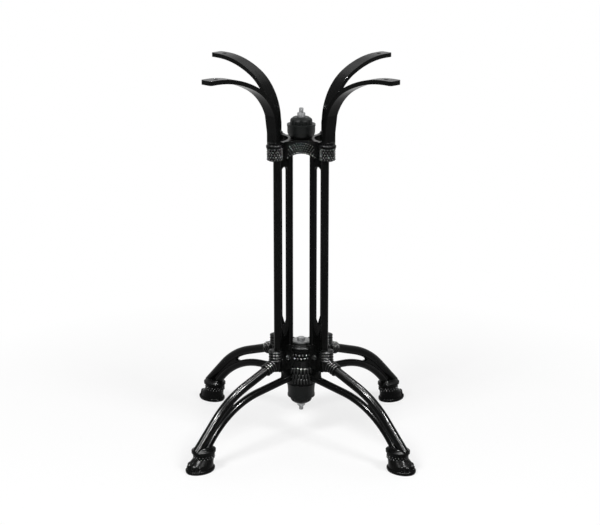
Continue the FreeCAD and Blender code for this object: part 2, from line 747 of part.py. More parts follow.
def add_arm(body):
    """A strap that rises from the collar and bends out in two arcs to a flat pad with a screw hole."""
    upper_bend = arm_point("first", "arm_first_turn", "arm_half")
    lower_bend = arm_point("first", "arm_first_turn", "-arm_half")
    strap = new_sketch(body, "strap")
    draw(
        strap,
        [
            ("arm_root_offset + arm_half", "collar_bottom + collar_height / 2"),
            ("arm_root_offset + arm_half", "arm_root_level"),
            lower_bend,
            ("arm_flat_offset", "base_height - arm_thickness"),
            ("arm_tip_offset", "base_height - arm_thickness"),
            ("arm_tip_offset", "base_height"),
            ("arm_flat_offset", "base_height"),
            upper_bend,
            ("arm_root_offset - arm_half", "arm_root_level"),
            ("arm_root_offset - arm_half", "collar_bottom + collar_height / 2"),
        ],
        {
            1: "-(arm_first_bend - arm_half)",
            2: "-(arm_second_bend - arm_half)",
            6: "arm_second_bend + arm_half",
            7: "arm_first_bend + arm_half",
        },
    )
    symmetric_pad(body, strap, "arm_tip_width")
    root = new_sketch(body, "root_flare")
    draw(
        root,
        [
            ("arm_root_offset - arm_root_depth / 2", "collar_bottom + collar_height / 2"),
            ("arm_root_offset + arm_root_depth / 2", "collar_bottom + collar_height / 2"),
            ("arm_root_offset + arm_root_depth / 2", "arm_root_level"),
            arm_point("first", "arm_flare_turn", "-arm_half"),
            arm_point("first", "arm_flare_turn", "arm_half"),
            ("arm_root_offset - arm_root_depth / 2", "arm_root_level"),
        ],
    )
    symmetric_pad(body, root, "arm_tip_width")
    margin = "arm_tip_width"
    plan = new_sketch(body, "arm_plan", "XY_Plane")
    draw(
        plan,
        [
            (f"-{margin}", f"-{margin}"),
            (f"arm_tip_offset + {margin}", f"-{margin}"),
            (f"arm_tip_offset + {margin}", margin),
            (f"-{margin}", margin),
        ],
    )
    draw(
        plan,
        [
            (0, "-arm_root_width / 2"),
            ("arm_tip_offset - arm_tip_corner", "-arm_tip_width / 2"),
            ("arm_tip_offset", "-arm_tip_width / 2 + arm_tip_corner"),
            ("arm_tip_offset", "arm_tip_width / 2 - arm_tip_corner"),
            ("arm_tip_offset - arm_tip_corner", "arm_tip_width / 2"),
            (0, "arm_root_width / 2"),
        ],
        {1: "arm_tip_corner", 3: "arm_tip_corner"},
    )
    through_pocket(body, plan)
    hole = draw_circle(new_sketch(body, "screw_hole", "XY_Plane"), "arm_hole_diameter", "arm_hole_offset")
    through_pocket(body, hole)


def cut_seams(body):
    """Trims the casting to its own quarter, half a seam gap short of each neighbour, and bores it."""
    upright_cylinder(body, "bolt_bore", "bolt_hole_radius", 0, 0, "base_height", "Subtractive")
    apex = f"seam_gap / 2 / cos({SEAM_TURN})"
    plan = new_sketch(body, "seams", "XY_Plane")
    draw(
        plan,
        [
            (apex, 0),
            (f"{apex} + star_hollow_offset", "star_hollow_offset"),
            ("-star_hollow_offset", "star_hollow_offset"),
            ("-star_hollow_offset", "-star_hollow_offset"),
            (f"{apex} + star_hollow_offset", "-star_hollow_offset"),
        ],
    )
    through_pocket(body, plan)


def make_side_frame(label):
    body = new_body(label)
    add_arm(body)
    add_upper_hub(body)
    add_lower_hub(body)
    add_column(body)
    add_collar(body)
    add_shoulder(body)
    add_elbow(body)
    add_leg(body)
    add_foot(body)
    add_toes(body)
    cut_seams(body)
    return body


def turned_copy(label, source, angle):
    copy = doc.addObject("Part::Compound", label)
    copy.Label = label
    copy.Links = [source]
    copy.Placement = Placement(Vector(0, 0, 0), Rotation(UP, angle))
    return copy


def make_side_frames():
    frame = make_side_frame("side_frame_front_right")
    frame.Placement = Placement(Vector(0, 0, 0), Rotation(UP, -SEAM_TURN))
    frames = [frame]
    for number, place_name in enumerate(("back_right", "back_left", "front_left")):
        frames.append(turned_copy(f"side_frame_{place_name}", frame, QUARTER_TURN * (number + 1)))
    return frames


def make_finial(label, seat_radius, arcs=None):
    """A cup that fits over the four spigots, with a rim and a scalloped cap. It grows from its seat."""
    body = new_body(label)
    profile = new_sketch(body, "finial")
    recess = "spigot_radius + fit_clearance"
    floor = "spigot_height + fit_clearance"
    draw(
        profile,
        [
            (recess, 0),
            (seat_radius, 0),
            ("finial_cup_radius", "finial_cup_level"),
            ("finial_cup_radius", "finial_rim_level"),
            ("finial_rim_radius", "finial_rim_level"),
            ("finial_rim_radius", "finial_rim_top"),
            ("finial_cap_radius", "finial_rim_top"),
            ("finial_cap_radius", "finial_cap_middle"),
            ("finial_shoulder_radius", "finial_shoulder_level"),
            ("finial_cap_top_radius", "finial_height"),
            ("bolt_hole_radius", "finial_height"),
            ("bolt_hole_radius", floor),
            (recess, floor),
        ],
        arcs,
    )
    revolve(body, profile)
    scallop = upright_cylinder(body, "scallop", "finial_scallop_radius",
                               "finial_cap_radius + finial_scallop_radius - finial_scallop_depth",
                               "finial_rim_top", "finial_height", "Subtractive")
    pattern = body.newObject("PartDesign::PolarPattern", "scallops")
    pattern.Originals = [scallop]
    pattern.Axis = (origin_feature(body, "Z_Axis"), [""])
    pattern.Angle = FULL_TURN
    pattern.Occurrences = SCALLOP_COUNT
    body.Tip = pattern
    return body


def draw_hexagon(sketch):
    turns = [FULL_TURN / HEX_SIDES * number for number in range(HEX_SIDES)]
    return draw(sketch, [(f"hex_corner * cos({turn})", f"hex_corner * sin({turn})") for turn in turns])


def make_bolt(label, length):
    """A hexagon bolt: its head lies below its own origin and its shank points along +Z."""
    body = new_body(label)
    head = draw_hexagon(new_sketch(body, "head", "XY_Plane", (0, 0, "-bolt_head_height")))
    upward_pad(body, head, "bolt_head_height")
    shank = new_sketch(body, "shank")
    draw(
        shank,
        [
            (0, "-bolt_head_height / 2"),
            ("bolt_diameter / 2", "-bolt_head_height / 2"),
            ("bolt_diameter / 2", f"{length} - bolt_point"),
            ("bolt_diameter / 2 - bolt_point", length),
            (0, length),
        ],
    )
    revolve(body, shank)
    return body


def make_nut(label):
    body = new_body(label)
    hexagon = draw_hexagon(new_sketch(body, "hexagon", "XY_Plane"))
    draw_circle(hexagon, "bolt_diameter + thread_clearance")
    upward_pad(body, hexagon, "nut_height")
    corner = new_sketch(body, "corner_chamfer")
    draw(
        corner,
        [
            ("hex_width / 2", "nut_height"),
            ("hex_corner + bolt_point", "nut_height - (hex_corner + bolt_point - hex_width / 2) * tan(30)"),
            ("hex_corner + bolt_point", "nut_height"),
        ],
    )
    chamfer = body.newObject("PartDesign::Groove", "corner_groove")
    chamfer.Profile = corner
    chamfer.ReferenceAxis = (corner, ["V_Axis"])
    chamfer.Angle = FULL_TURN
    return body


def make_disc(label, outside, inside, thickness):
    body = new_body(label)
    ring = draw_circle(draw_circle(new_sketch(body, "ring", "XY_Plane"), outside), inside)
    upward_pad(body, ring, thickness)
    return body


def make_washer(label):
    return make_disc(label, "washer_diameter", "bolt_diameter + thread_clearance", "washer_thickness")


def make_plate(label):
    return make_disc(label, "clamp_plate_diameter", "2 * bolt_hole_radius", "clamp_plate_thickness")


def place(body, level, inverted):
    """Stands a piece on the Z axis at a level, upside down in the lower hub."""
    body.Placement = Placement(Vector(0, 0, value(level)), Rotation(Vector(1, 0, 0), 180 if inverted else 0))
    body.setExpression("Placement.Base.z", linked(level))
    return body


def make_clamp(hub, finial, inverted):
    """The finial and the hardware of one hub. Levels count outwards from the finial's seat."""
    way = -1 if inverted else 1
    grip = f"({hub}_clamp_floor + clamp_plate_thickness)"
    stack = [
        (finial, 0),
        (make_bolt(f"{hub}_clamp_bolt", f"{grip} + bolt_reach"), f"-{grip}"),
        (make_nut(f"{hub}_nut"), "finial_height + washer_thickness"),
        (make_washer(f"{hub}_nut_washer"), "finial_height"),
        (make_plate(f"{hub}_clamp_plate"), f"-{grip}"),
    ]
    return [place(body, f"{hub}_seat_level + {way} * ({rise})", inverted) for body, rise in stack]


def check(pieces):
    """Stops before anything is written if an object failed or a piece has no sound shape."""
    for item in doc.Objects:
        if "Invalid" in item.State or "Error" in item.State:
            raise RuntimeError(f"{item.Name} is in state {item.State}")
    for piece in pieces:
        if piece.Shape.isNull() or not piece.Shape.isValid() or len(piece.Shape.Solids) != 1:
            raise RuntimeError(f"{piece.Label} has no single sound solid")


pieces = make_side_frames()
round_cup = make_finial("upper_finial", "upper_finial_seat_radius", {1: "finial_cup_bend"})
flared_cup = make_finial("lower_finial", "lower_finial_seat_radius")
pieces += make_clamp("upper", round_cup, False) + make_clamp("lower", flared_cup, True)
doc.recompute()
check(pieces)
os.makedirs("parts", exist_ok=True)
for piece in pieces:
    piece.Shape.exportStep(f"parts/{piece.Label}.step")
    print(piece.Label, round(piece.Shape.Volume / 1000, 2), "cubic centimetres")
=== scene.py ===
import json
import math

import bmesh
import bpy
from mathutils import Matrix, Vector


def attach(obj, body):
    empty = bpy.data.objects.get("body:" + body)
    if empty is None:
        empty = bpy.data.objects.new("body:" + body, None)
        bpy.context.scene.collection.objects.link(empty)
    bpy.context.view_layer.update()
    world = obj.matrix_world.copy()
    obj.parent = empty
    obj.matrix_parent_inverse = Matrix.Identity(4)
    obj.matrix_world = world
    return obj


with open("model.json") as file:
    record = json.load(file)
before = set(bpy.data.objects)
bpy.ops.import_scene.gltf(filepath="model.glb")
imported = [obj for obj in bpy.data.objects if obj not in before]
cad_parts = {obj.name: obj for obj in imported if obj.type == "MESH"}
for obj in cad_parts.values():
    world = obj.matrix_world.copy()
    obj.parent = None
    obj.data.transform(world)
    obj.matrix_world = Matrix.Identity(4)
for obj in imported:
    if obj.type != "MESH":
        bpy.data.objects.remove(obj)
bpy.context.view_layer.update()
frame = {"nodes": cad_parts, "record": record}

# A black cast table base on a white studio floor.
# Lengths are in metres unless a name or a comment says otherwise.

# Camera, fitted to the photograph's frame of 600 by 525 pixels
IMAGE_WIDTH = 600
SENSOR_WIDTH_MM = 36.0
FOCAL_PIXELS = 1586.8
CAMERA_DISTANCE = 2.8836
CAMERA_HEIGHT = 1.186
CAMERA_SIDE = -0.0023
CAMERA_PITCH = math.radians(16.257)
CAMERA_AZIMUTH = math.radians(0.31)


def make_camera():
    data = bpy.data.cameras.new("photo_camera")
    data.sensor_width = SENSOR_WIDTH_MM
    data.lens = FOCAL_PIXELS * SENSOR_WIDTH_MM / IMAGE_WIDTH
    camera = bpy.data.objects.new("photo_camera", data)
    bpy.context.scene.collection.objects.link(camera)
    around = Matrix.Rotation(CAMERA_AZIMUTH, 4, "Z")
    place = Matrix.Translation((CAMERA_SIDE, -CAMERA_DISTANCE, CAMERA_HEIGHT))
    look_down = Matrix.Rotation(math.pi / 2 - CAMERA_PITCH, 4, "X")
    camera.matrix_world = around @ place @ look_down
    bpy.context.scene.camera = camera


# Light and background
LAMPS = {
    # name: (place, size, power in watts)
    "left_lamp": ((-1.2, -1.4, 2.4), (0.8, 0.8), 48.0),
    "right_lamp": ((1.4, -1.2, 2.3), (0.7, 0.7), 34.0),
    "back_lamp": ((0.3, 1.4, 2.5), (2.6, 1.4), 12.0),
}
# Small lamps that only show as glints in the gloss of the castings' paint
GLINTS = {
    "left_glint": ((-1.1, -1.2, 2.3), (0.14, 0.14), 500.0),
    "right_glint": ((1.3, -1.0, 2.2), (0.14, 0.14), 460.0),
    "high_glint": ((0.1, -0.6, 3.0), (0.14, 0.14), 300.0),
    "top_glint": ((0.0, 0.1, 2.8), (1.6, 1.6), 250.0),
    "front_glint": ((0.5, -2.4, 1.9), (0.2, 0.2), 420.0),
    "back_left_glint": ((-0.7, 0.9, 3.0), (0.14, 0.14), 150.0),
    "back_right_glint": ((0.6, 0.8, 3.0), (0.14, 0.14), 150.0),
}
LAMP_TARGET = Vector((0, 0, 0.35))
WHITE = (1, 1, 1, 1)
AMBIENT_LIGHT = 0.25
FLOOR_COLOUR = (0.9, 0.9, 0.9, 1)
FLOOR_SIZE = 40.0
FLOOR_SHADOW_SHARE = 0.35
SHADOW_NEAR = 0.35
SHADOW_FAR = 0.9


def make_lamp(name, place, size, power):
    data = bpy.data.lights.new(name, "AREA")
    data.shape = "RECTANGLE"
    data.size, data.size_y = size
    data.energy = power
    lamp = bpy.data.objects.new(name, data)
    bpy.context.scene.collection.objects.link(lamp)
    lamp.location = place
    lamp.rotation_euler = (LAMP_TARGET - lamp.location).to_track_quat("-Z", "Y").to_euler()
    return lamp


def make_lamps():
    for name, (place, size, power) in LAMPS.items():
        make_lamp(name, place, size, power)


def make_glints(glossy_pieces):
    """Lamps that light nothing but the mirror-like gloss of the given pieces."""
    receivers = bpy.data.collections.new("glossy_pieces")
    for piece in glossy_pieces:
        receivers.objects.link(piece)
    for name, (place, size, power) in GLINTS.items():
        lamp = make_lamp(name, place, size, power)
        lamp.visible_diffuse = False
        lamp.light_linking.receiver_collection = receivers


def seen_directly(nodes, links):
    """A factor that is 1 for camera, mirror and see-through rays, which all show the white background."""
    path = nodes.new("ShaderNodeLightPath")
    first = nodes.new("ShaderNodeMath")
    first.operation = "MAXIMUM"
    links.new(path.outputs["Is Camera Ray"], first.inputs[0])
    links.new(path.outputs["Is Glossy Ray"], first.inputs[1])
    both = nodes.new("ShaderNodeMath")
    both.operation = "MAXIMUM"
    links.new(first.outputs[0], both.inputs[0])
    links.new(path.outputs["Is Transmission Ray"], both.inputs[1])
    return both.outputs[0]


def make_world():
    world = bpy.data.worlds.new("white_studio")
    bpy.context.scene.world = world
    world.use_nodes = True
    nodes, links = world.node_tree.nodes, world.node_tree.links
    nodes.clear()
    ambient = nodes.new("ShaderNodeBackground")
    ambient.inputs["Color"].default_value = WHITE
    ambient.inputs["Strength"].default_value = AMBIENT_LIGHT
    white = nodes.new("ShaderNodeBackground")
    white.inputs["Color"].default_value = WHITE
    mix = nodes.new("ShaderNodeMixShader")
    links.new(seen_directly(nodes, links), mix.inputs[0])
    links.new(ambient.outputs[0], mix.inputs[1])
    links.new(white.outputs[0], mix.inputs[2])
    output = nodes.new("ShaderNodeOutputWorld")
    links.new(mix.outputs[0], output.inputs["Surface"])


def plain_share(nodes, links):
    """How much of the floor is plain white: less near the base, for its shadow, and all further out."""
    place = nodes.new("ShaderNodeTexCoord")
    distance = nodes.new("ShaderNodeVectorMath")
    distance.operation = "LENGTH"
    links.new(place.outputs["Object"], distance.inputs[0])
    fade = nodes.new("ShaderNodeMapRange")
    fade.inputs["From Min"].default_value = SHADOW_NEAR
    fade.inputs["From Max"].default_value = SHADOW_FAR
    fade.inputs["To Min"].default_value = 1 - FLOOR_SHADOW_SHARE
    fade.inputs["To Max"].default_value = 1.0
    links.new(distance.outputs["Value"], fade.inputs["Value"])
    return fade.outputs["Result"]


def floor_material():
    material = bpy.data.materials.new("white_floor")
    material.use_nodes = True
    nodes, links = material.node_tree.nodes, material.node_tree.links
    nodes.clear()
    paper = nodes.new("ShaderNodeBsdfDiffuse")
    paper.inputs["Color"].default_value = FLOOR_COLOUR
    glow = nodes.new("ShaderNodeEmission")
    share = nodes.new("ShaderNodeMath")
    share.operation = "MULTIPLY"
    links.new(seen_directly(nodes, links), share.inputs[0])
    links.new(plain_share(nodes, links), share.inputs[1])
    mix = nodes.new("ShaderNodeMixShader")
    links.new(share.outputs[0], mix.inputs[0])
    links.new(paper.outputs[0], mix.inputs[1])
    links.new(glow.outputs[0], mix.inputs[2])
    output = nodes.new("ShaderNodeOutputMaterial")
    links.new(mix.outputs[0], output.inputs["Surface"])
    return material


def make_floor():
    half = FLOOR_SIZE / 2
    corners = [(-half, -half, 0), (half, -half, 0), (half, half, 0), (-half, half, 0)]
    mesh = bpy.data.meshes.new("floor")
    mesh.from_pydata(corners, [], [(0, 1, 2, 3)])
    floor = bpy.data.objects.new("floor", mesh)
    bpy.context.scene.collection.objects.link(floor)
    mesh.materials.append(floor_material())


# Paint and plating. A noise is given by its scale and detail, a bump by its strength and height.
PAINTS = {
    # name: (dark colour, light colour, roughness, specular level)
    "casting_paint": ((0.0012, 0.0013, 0.0013), (0.003, 0.0032, 0.0031), 0.15, 0.04),
    "finial_paint": ((0.002, 0.0026, 0.0025), (0.006, 0.0072, 0.0068), 0.38, 0.15),
    "rubbed_paint": ((0.0012, 0.0013, 0.0013), (0.004, 0.0043, 0.0042), 0.14, 0.24),
}
PLATINGS = {
    # name: (colour, roughness)
    "bright_zinc": ((0.38, 0.385, 0.39), 0.3),
    "dull_zinc": ((0.33, 0.335, 0.335), 0.4),
}
LOOKS = {
    "casting": "casting_paint",
    "ornament": "rubbed_paint",
    "finial": "finial_paint",
    "fastener": "bright_zinc",
    "clamp_plate": "dull_zinc",
}
NOISE_LOW = 0.3
NOISE_HIGH = 0.7
BLEND_START = 0.35
BLEND_END = 0.65
PAINT_PATCHES = (14.0, 4.0)
PAINT_GRAIN = (420.0, 3.0)
PAINT_WAVES = (60.0, 2.0)
PAINT_WAVE_BUMP = (0.16, 0.0012)
PAINT_GRAIN_BUMP = (0.12, 0.0003)
PAINT_ROUGHNESS_SPREAD = 0.1
PAINT_EDGE_RADIUS = 0.0006
EDGE_SAMPLES = 6
EDGE_START = 0.995
EDGE_END = 0.85
EDGE_POLISH = 0.7
CORNER_SAMPLES = 8
CORNER_DISTANCE = 0.004
CORNER_CLOSED = 0.2
CORNER_OPEN = 0.7
CORNER_ROUGHNESS = 0.6
ZINC_CLOUDS = (220.0, 3.0)
ZINC_GRAIN = (1500.0, 2.0)
ZINC_GRAIN_BUMP = (0.1, 0.0001)
ZINC_ROUGHNESS_SPREAD = 0.15
ZINC_EDGE_RADIUS = 0.0003
ZINC_CLOUD_SHADE = 0.5


def new_material(name):
    material = bpy.data.materials.new(name)
    material.use_nodes = True
    nodes, links = material.node_tree.nodes, material.node_tree.links
    shader = nodes["Principled BSDF"]
    return material, nodes, links, shader


def noise(nodes, links, scale, detail):
    """Noise over the object's own coordinates, so that it stays with the part."""
    coordinates = nodes.new("ShaderNodeTexCoord")
    texture = nodes.new("ShaderNodeTexNoise")
    texture.inputs["Scale"].default_value = scale
    texture.inputs["Detail"].default_value = detail
    links.new(coordinates.outputs["Object"], texture.inputs["Vector"])
    return texture.outputs["Fac"]


def spread(nodes, links, factor, low, high):
    """Maps the range that a noise mostly takes onto low to high."""
    ramp = nodes.new("ShaderNodeMapRange")
    ramp.inputs["From Min"].default_value = NOISE_LOW
    ramp.inputs["From Max"].default_value = NOISE_HIGH
    ramp.inputs["To Min"].default_value = low
    ramp.inputs["To Max"].default_value = high
    links.new(factor, ramp.inputs["Value"])
    return ramp.outputs["Result"]


def blended_colour(nodes, links, factor, first, second):
    ramp = nodes.new("ShaderNodeValToRGB")
    start, end = ramp.color_ramp.elements
    start.position = BLEND_START
    start.color = (*first, 1)
    end.position = BLEND_END
    end.color = (*second, 1)
    links.new(factor, ramp.inputs["Fac"])
    return ramp.outputs["Color"]


def bump(nodes, links, height, strength, distance, under):
    """A bump on top of the normal that lies under it."""
    node = nodes.new("ShaderNodeBump")
    node.inputs["Strength"].default_value = strength
    node.inputs["Distance"].default_value = distance
    links.new(height, node.inputs["Height"])
    links.new(under, node.inputs["Normal"])
    return node.outputs["Normal"]


def soft_edges(nodes, radius):
    """Rounds the shading over sharp edges, as a coat of paint does."""
    node = nodes.new("ShaderNodeBevel")
    node.samples = EDGE_SAMPLES
    node.inputs["Radius"].default_value = radius
    return node.outputs["Normal"]


def rubbed_edges(nodes, links, rounded):
    """A factor that grows from 0 to 1 along edges, where the rounded shading leaves the true surface."""
    surface = nodes.new("ShaderNodeNewGeometry")
    likeness = nodes.new("ShaderNodeVectorMath")
    likeness.operation = "DOT_PRODUCT"
    links.new(rounded, likeness.inputs[0])
    links.new(surface.outputs["Normal"], likeness.inputs[1])
    factor = nodes.new("ShaderNodeMapRange")
    factor.inputs["From Min"].default_value = EDGE_START
    factor.inputs["From Max"].default_value = EDGE_END
    links.new(likeness.outputs["Value"], factor.inputs["Value"])
    return factor.outputs["Result"]


def open_surface(nodes, links):
    """A factor that falls from 1 to 0 into narrow corners, where dirt dulls the paint."""
    corners = nodes.new("ShaderNodeAmbientOcclusion")
    corners.samples = CORNER_SAMPLES
    corners.inputs["Distance"].default_value = CORNER_DISTANCE
    factor = nodes.new("ShaderNodeMapRange")
    factor.inputs["From Min"].default_value = CORNER_CLOSED
    factor.inputs["From Max"].default_value = CORNER_OPEN
    links.new(corners.outputs["AO"], factor.inputs["Value"])
    return factor.outputs["Result"]


def mixed(nodes, links, factor, first, second):
    """A number that goes from first to second with the factor. Either may be a node's output."""
    node = nodes.new("ShaderNodeMapRange")
    links.new(factor, node.inputs["Value"])
    for name, value in (("To Min", first), ("To Max", second)):
        if isinstance(value, bpy.types.NodeSocket):
            links.new(value, node.inputs[name])
        else:
            node.inputs[name].default_value = value
    return node.outputs["Result"]


def black_paint(name, dark, light, roughness, shine):
    """Black paint over a cast skin: wavy and grained, polished on its edges and dull in its corners."""
    material, nodes, links, shader = new_material(name)
    patches = noise(nodes, links, *PAINT_PATCHES)
    links.new(blended_colour(nodes, links, patches, dark, light), shader.inputs["Base Color"])
    shader.inputs["Specular IOR Level"].default_value = shine
    grain = noise(nodes, links, *PAINT_GRAIN)
    rounded = soft_edges(nodes, PAINT_EDGE_RADIUS)
    faces = spread(nodes, links, grain, roughness, roughness + PAINT_ROUGHNESS_SPREAD)
    edges = rubbed_edges(nodes, links, rounded)
    worn = mixed(nodes, links, edges, faces, roughness * EDGE_POLISH)
    dulled = mixed(nodes, links, open_surface(nodes, links), CORNER_ROUGHNESS, worn)
    links.new(dulled, shader.inputs["Roughness"])
    waves = noise(nodes, links, *PAINT_WAVES)
    wavy = bump(nodes, links, waves, *PAINT_WAVE_BUMP, rounded)
    skin = bump(nodes, links, grain, *PAINT_GRAIN_BUMP, wavy)
    links.new(skin, shader.inputs["Normal"])
    return material


def zinc(name, colour, roughness):
    """Zinc plating: fine grain and cloudy tone."""
    material, nodes, links, shader = new_material(name)
    darker = tuple(channel * ZINC_CLOUD_SHADE for channel in colour)
    clouds = noise(nodes, links, *ZINC_CLOUDS)
    links.new(blended_colour(nodes, links, clouds, darker, colour), shader.inputs["Base Color"])
    grain = noise(nodes, links, *ZINC_GRAIN)
    dulled = spread(nodes, links, grain, roughness, roughness + ZINC_ROUGHNESS_SPREAD)
    links.new(dulled, shader.inputs["Roughness"])
    shader.inputs["Metallic"].default_value = 1.0
    rounded = soft_edges(nodes, ZINC_EDGE_RADIUS)
    links.new(bump(nodes, links, grain, *ZINC_GRAIN_BUMP, rounded), shader.inputs["Normal"])
    return material


def dress_castings():
    materials = {}
    for name, values in PAINTS.items():
        materials[name] = black_paint(name, *values)
    for name, values in PLATINGS.items():
        materials[name] = zinc(name, *values)
    looks = {look: materials[name] for look, name in LOOKS.items()}
    slots = {part["node"]: part["material_slot"] for part in frame["record"]["subparts"]}
    for name, node in frame["nodes"].items():
        node.data.materials.clear()
        node.data.materials.append(looks[slots[name]])
    return looks


# Cast ornament, in millimetres and degrees, on the sizes of the castings that carry it.
# Lumps and leaves are given by half their depth, width and height.
MM = 0.001
UP = Vector((0, 0, 1))
FULL_TURN = 360
HALF_TURN = 180
QUARTER_TURN = 90
CASTINGS = {"front_right": -45, "back_right": 45, "back_left": 135, "front_left": 225}
SEAM_SIDES = {"front": -90, "right": 0, "back": 90, "left": 180}
TUBE_SIDES = 8
HOOP_STEPS = 48
OVAL_STEPS = 64
LEAF_TAPER = 0.35
LEAF_GROOVE_DEPTH = 0.5
LEAF_GROOVE_WIDTH = 0.2

# Hollow sides of both hubs, and arches of the upper hub
UPPER_CROWN = 560.63
ARCH_RADIUS = 43.0
ARCH_SPAN = 25.0
HOLLOW_OFFSET = 69.5
HOLLOW_RADIUS = 45.5
ARCH_BEADS = 13
ARCH_BEAD = (1.7, 1.9, 1.8)
ARCH_BEAD_RISE = 2.0
ARCH_STUD = (1.0, 1.3, 1.3)
ARCH_STUD_ROWS = 4
ARCH_STUD_START = 7.0
ARCH_STUD_PITCH = 4.2

# Collars between columns and arms
COLLAR_OFFSET = 68.0
COLLAR_BOTTOM = 552.53
COLLAR_NECK = 13.2
COLLAR_PEARLS = 16
COLLAR_PEARL = (1.8, 1.9, 1.9)
COLLAR_PEARL_SEAT = 0.1
COLLAR_PEARL_LEVELS = (3.4, 8.1, 12.8, 17.5, 22.2)

# Rings around the elbows and the roots of the legs
RING_PITCH = 5.5
RING_COUNT = 4
ELBOW_BOTTOM = 165.0
ELBOW_RADIUS = 13.0
LEG_COLLAR_OFFSET = 70.0
LEG_COLLAR_LEVEL = 160.0
LEG_COLLAR_SLOPE = 19.0
LEG_COLLAR_START = 5.5
LEG_COLLAR_RADIUS = 11.5
CREST_THICKNESS = 1.2
CREST_DEPTH = 0.7

# Bowl and drum of the lower hub
BOWL_LEAF_ROWS = (
    # radius and level of the leaves' middles
    (29.6, 116.5),
    (31.8, 127.5),
    (33.0, 138.5),
)
BOWL_LEAVES = 32
BOWL_LEAF = (2.6, 2.5, 6.8)
BOWL_LEAF_LIFT = 15.0
BOWL_LEAF_MARGIN = 8.0
DRUM_RADIUS = 29.5
DRUM_PEARLS = 28
DRUM_PEARL = (2.2, 2.3, 2.5)
DRUM_PEARL_LEVELS = (161.5, 168.5)
DRUM_PEARL_MARGIN = 12.0
SCROLL_ACROSS = 25.0
SCROLL_LEVEL = 165.0
SCROLL_TURNS = 1.6
SCROLL_STEPS = 36
SCROLL_START = 1.2
SCROLL_GROWTH = 4.2
SCROLL_THICKNESS = 1.1
SCROLL_PROUD = 0.5
SCROLL_EYE = (1.6, 1.6, 1.6)

# Lip of the lower finial, and threads of the clamp bolts
UPPER_SEAT = 585.13
LOWER_SEAT = 105.0
LIP_RADIUS = 27.2
LIP_DROP = 1.0
LIP_THICKNESS = 0.9
BOLT_TIP_RISE = 57.1
BOLT_RADIUS = 4.0
THREAD_PITCH = 1.25
THREAD_TURNS = 6
THREAD_STEPS = 16
THREAD_RUN_OUT = 1.4
THREAD_THICKNESS = 0.25
THREAD_SIDES = 6

# Feet. A toe is given by its direction and its reach.
FOOT_OFFSET = 261.0
TOES = {-45: 19.0, -15: 22.0, 15: 22.0, 45: 19.0}
TOE = (5.0, 4.8, 6.0)
TOE_LEVEL = 11.0
CLAW = (2.4, 1.7, 2.2)
CLAW_REACH = 4.2
CLAW_DROP = 3.4
SOLE_LENGTH = 57.0
SOLE_WIDTH = 43.0
SOLE_LEVEL = 5.0
SOLE_BEAD_THICKNESS = 1.2
ANKLE_OFFSET = 252.0
ANKLE_LENGTH = 40.0
ANKLE_WIDTH = 35.0
ANKLE_PEARLS = 20
ANKLE_PEARL = (1.7, 1.7, 1.8)
ANKLE_PEARL_LEVELS = (24.4, 28.6)
ANKLE_TOP = 41.5
ANKLE_ROLL_LENGTH = 34.0
ANKLE_ROLL_WIDTH = 20.0
ANKLE_ROLL_THICKNESS = 3.2


def turned(degrees, axis="Z"):
    return Matrix.Rotation(math.radians(degrees), 4, axis)


def shifted(x, y, z):
    return Matrix.Translation((x, y, z))


def scaled(x, y, z):
    return Matrix.Diagonal((x, y, z, 1))


def on_circle(radius, angle, level):
    """A point at an angle, in radians, around the Z axis."""
    return Vector((radius * math.cos(angle), radius * math.sin(angle), level))


def on_oval(length, width, degrees):
    """A point at an angle around the middle of a flat oval."""
    angle = math.radians(degrees)
    return Vector((length / 2 * math.cos(angle), width / 2 * math.sin(angle), 0))


def ball(columns, rows):
    """The points and faces of a ball of radius 1 that stands on its pole."""
    points = [Vector((0, 0, 1))]
    for row in range(1, rows):
        polar = math.pi * row / rows
        for column in range(columns):
            points.append(on_circle(math.sin(polar), 2 * math.pi * column / columns, math.cos(polar)))
    points.append(Vector((0, 0, -1)))
    faces = []
    last = len(points) - 1
    for column in range(columns):
        after = (column + 1) % columns
        faces.append((0, 1 + column, 1 + after))
        faces.append((last, last - columns + after, last - columns + column))
        for row in range(rows - 2):
            above = 1 + row * columns
            below = above + columns
            faces.append((above + column, below + column, below + after, above + after))
    return points, faces


PEARL_BALL = ball(columns=12, rows=8)
LEAF_BALL = ball(columns=16, rows=12)


def add_ball(shape, template, bend):
    """Adds a ball whose points are moved by a function."""
    points, faces = template
    vertices = [shape.verts.new(bend(point)) for point in points]
    for face in faces:
        shape.faces.new([vertices[corner] for corner in face])


def add_lump(shape, place, half_sizes):
    """One rounded lump, with its depth along the place's X axis."""
    stretched = place @ scaled(*half_sizes)
    add_ball(shape, PEARL_BALL, lambda point: stretched @ point)


def add_leaf(shape, place, half_sizes):
    """A hanging leaf: broad at its root on top and narrow below, with a groove for its midrib."""
    stretched = place @ scaled(*half_sizes)

    def bend(point):
        out, across, along = point
        if out > 0:
            out *= 1 - LEAF_GROOVE_DEPTH * math.exp(-(across / LEAF_GROOVE_WIDTH) ** 2)
        across *= 1 + LEAF_TAPER * along
        return stretched @ Vector((out, across, along))

    add_ball(shape, LEAF_BALL, bend)


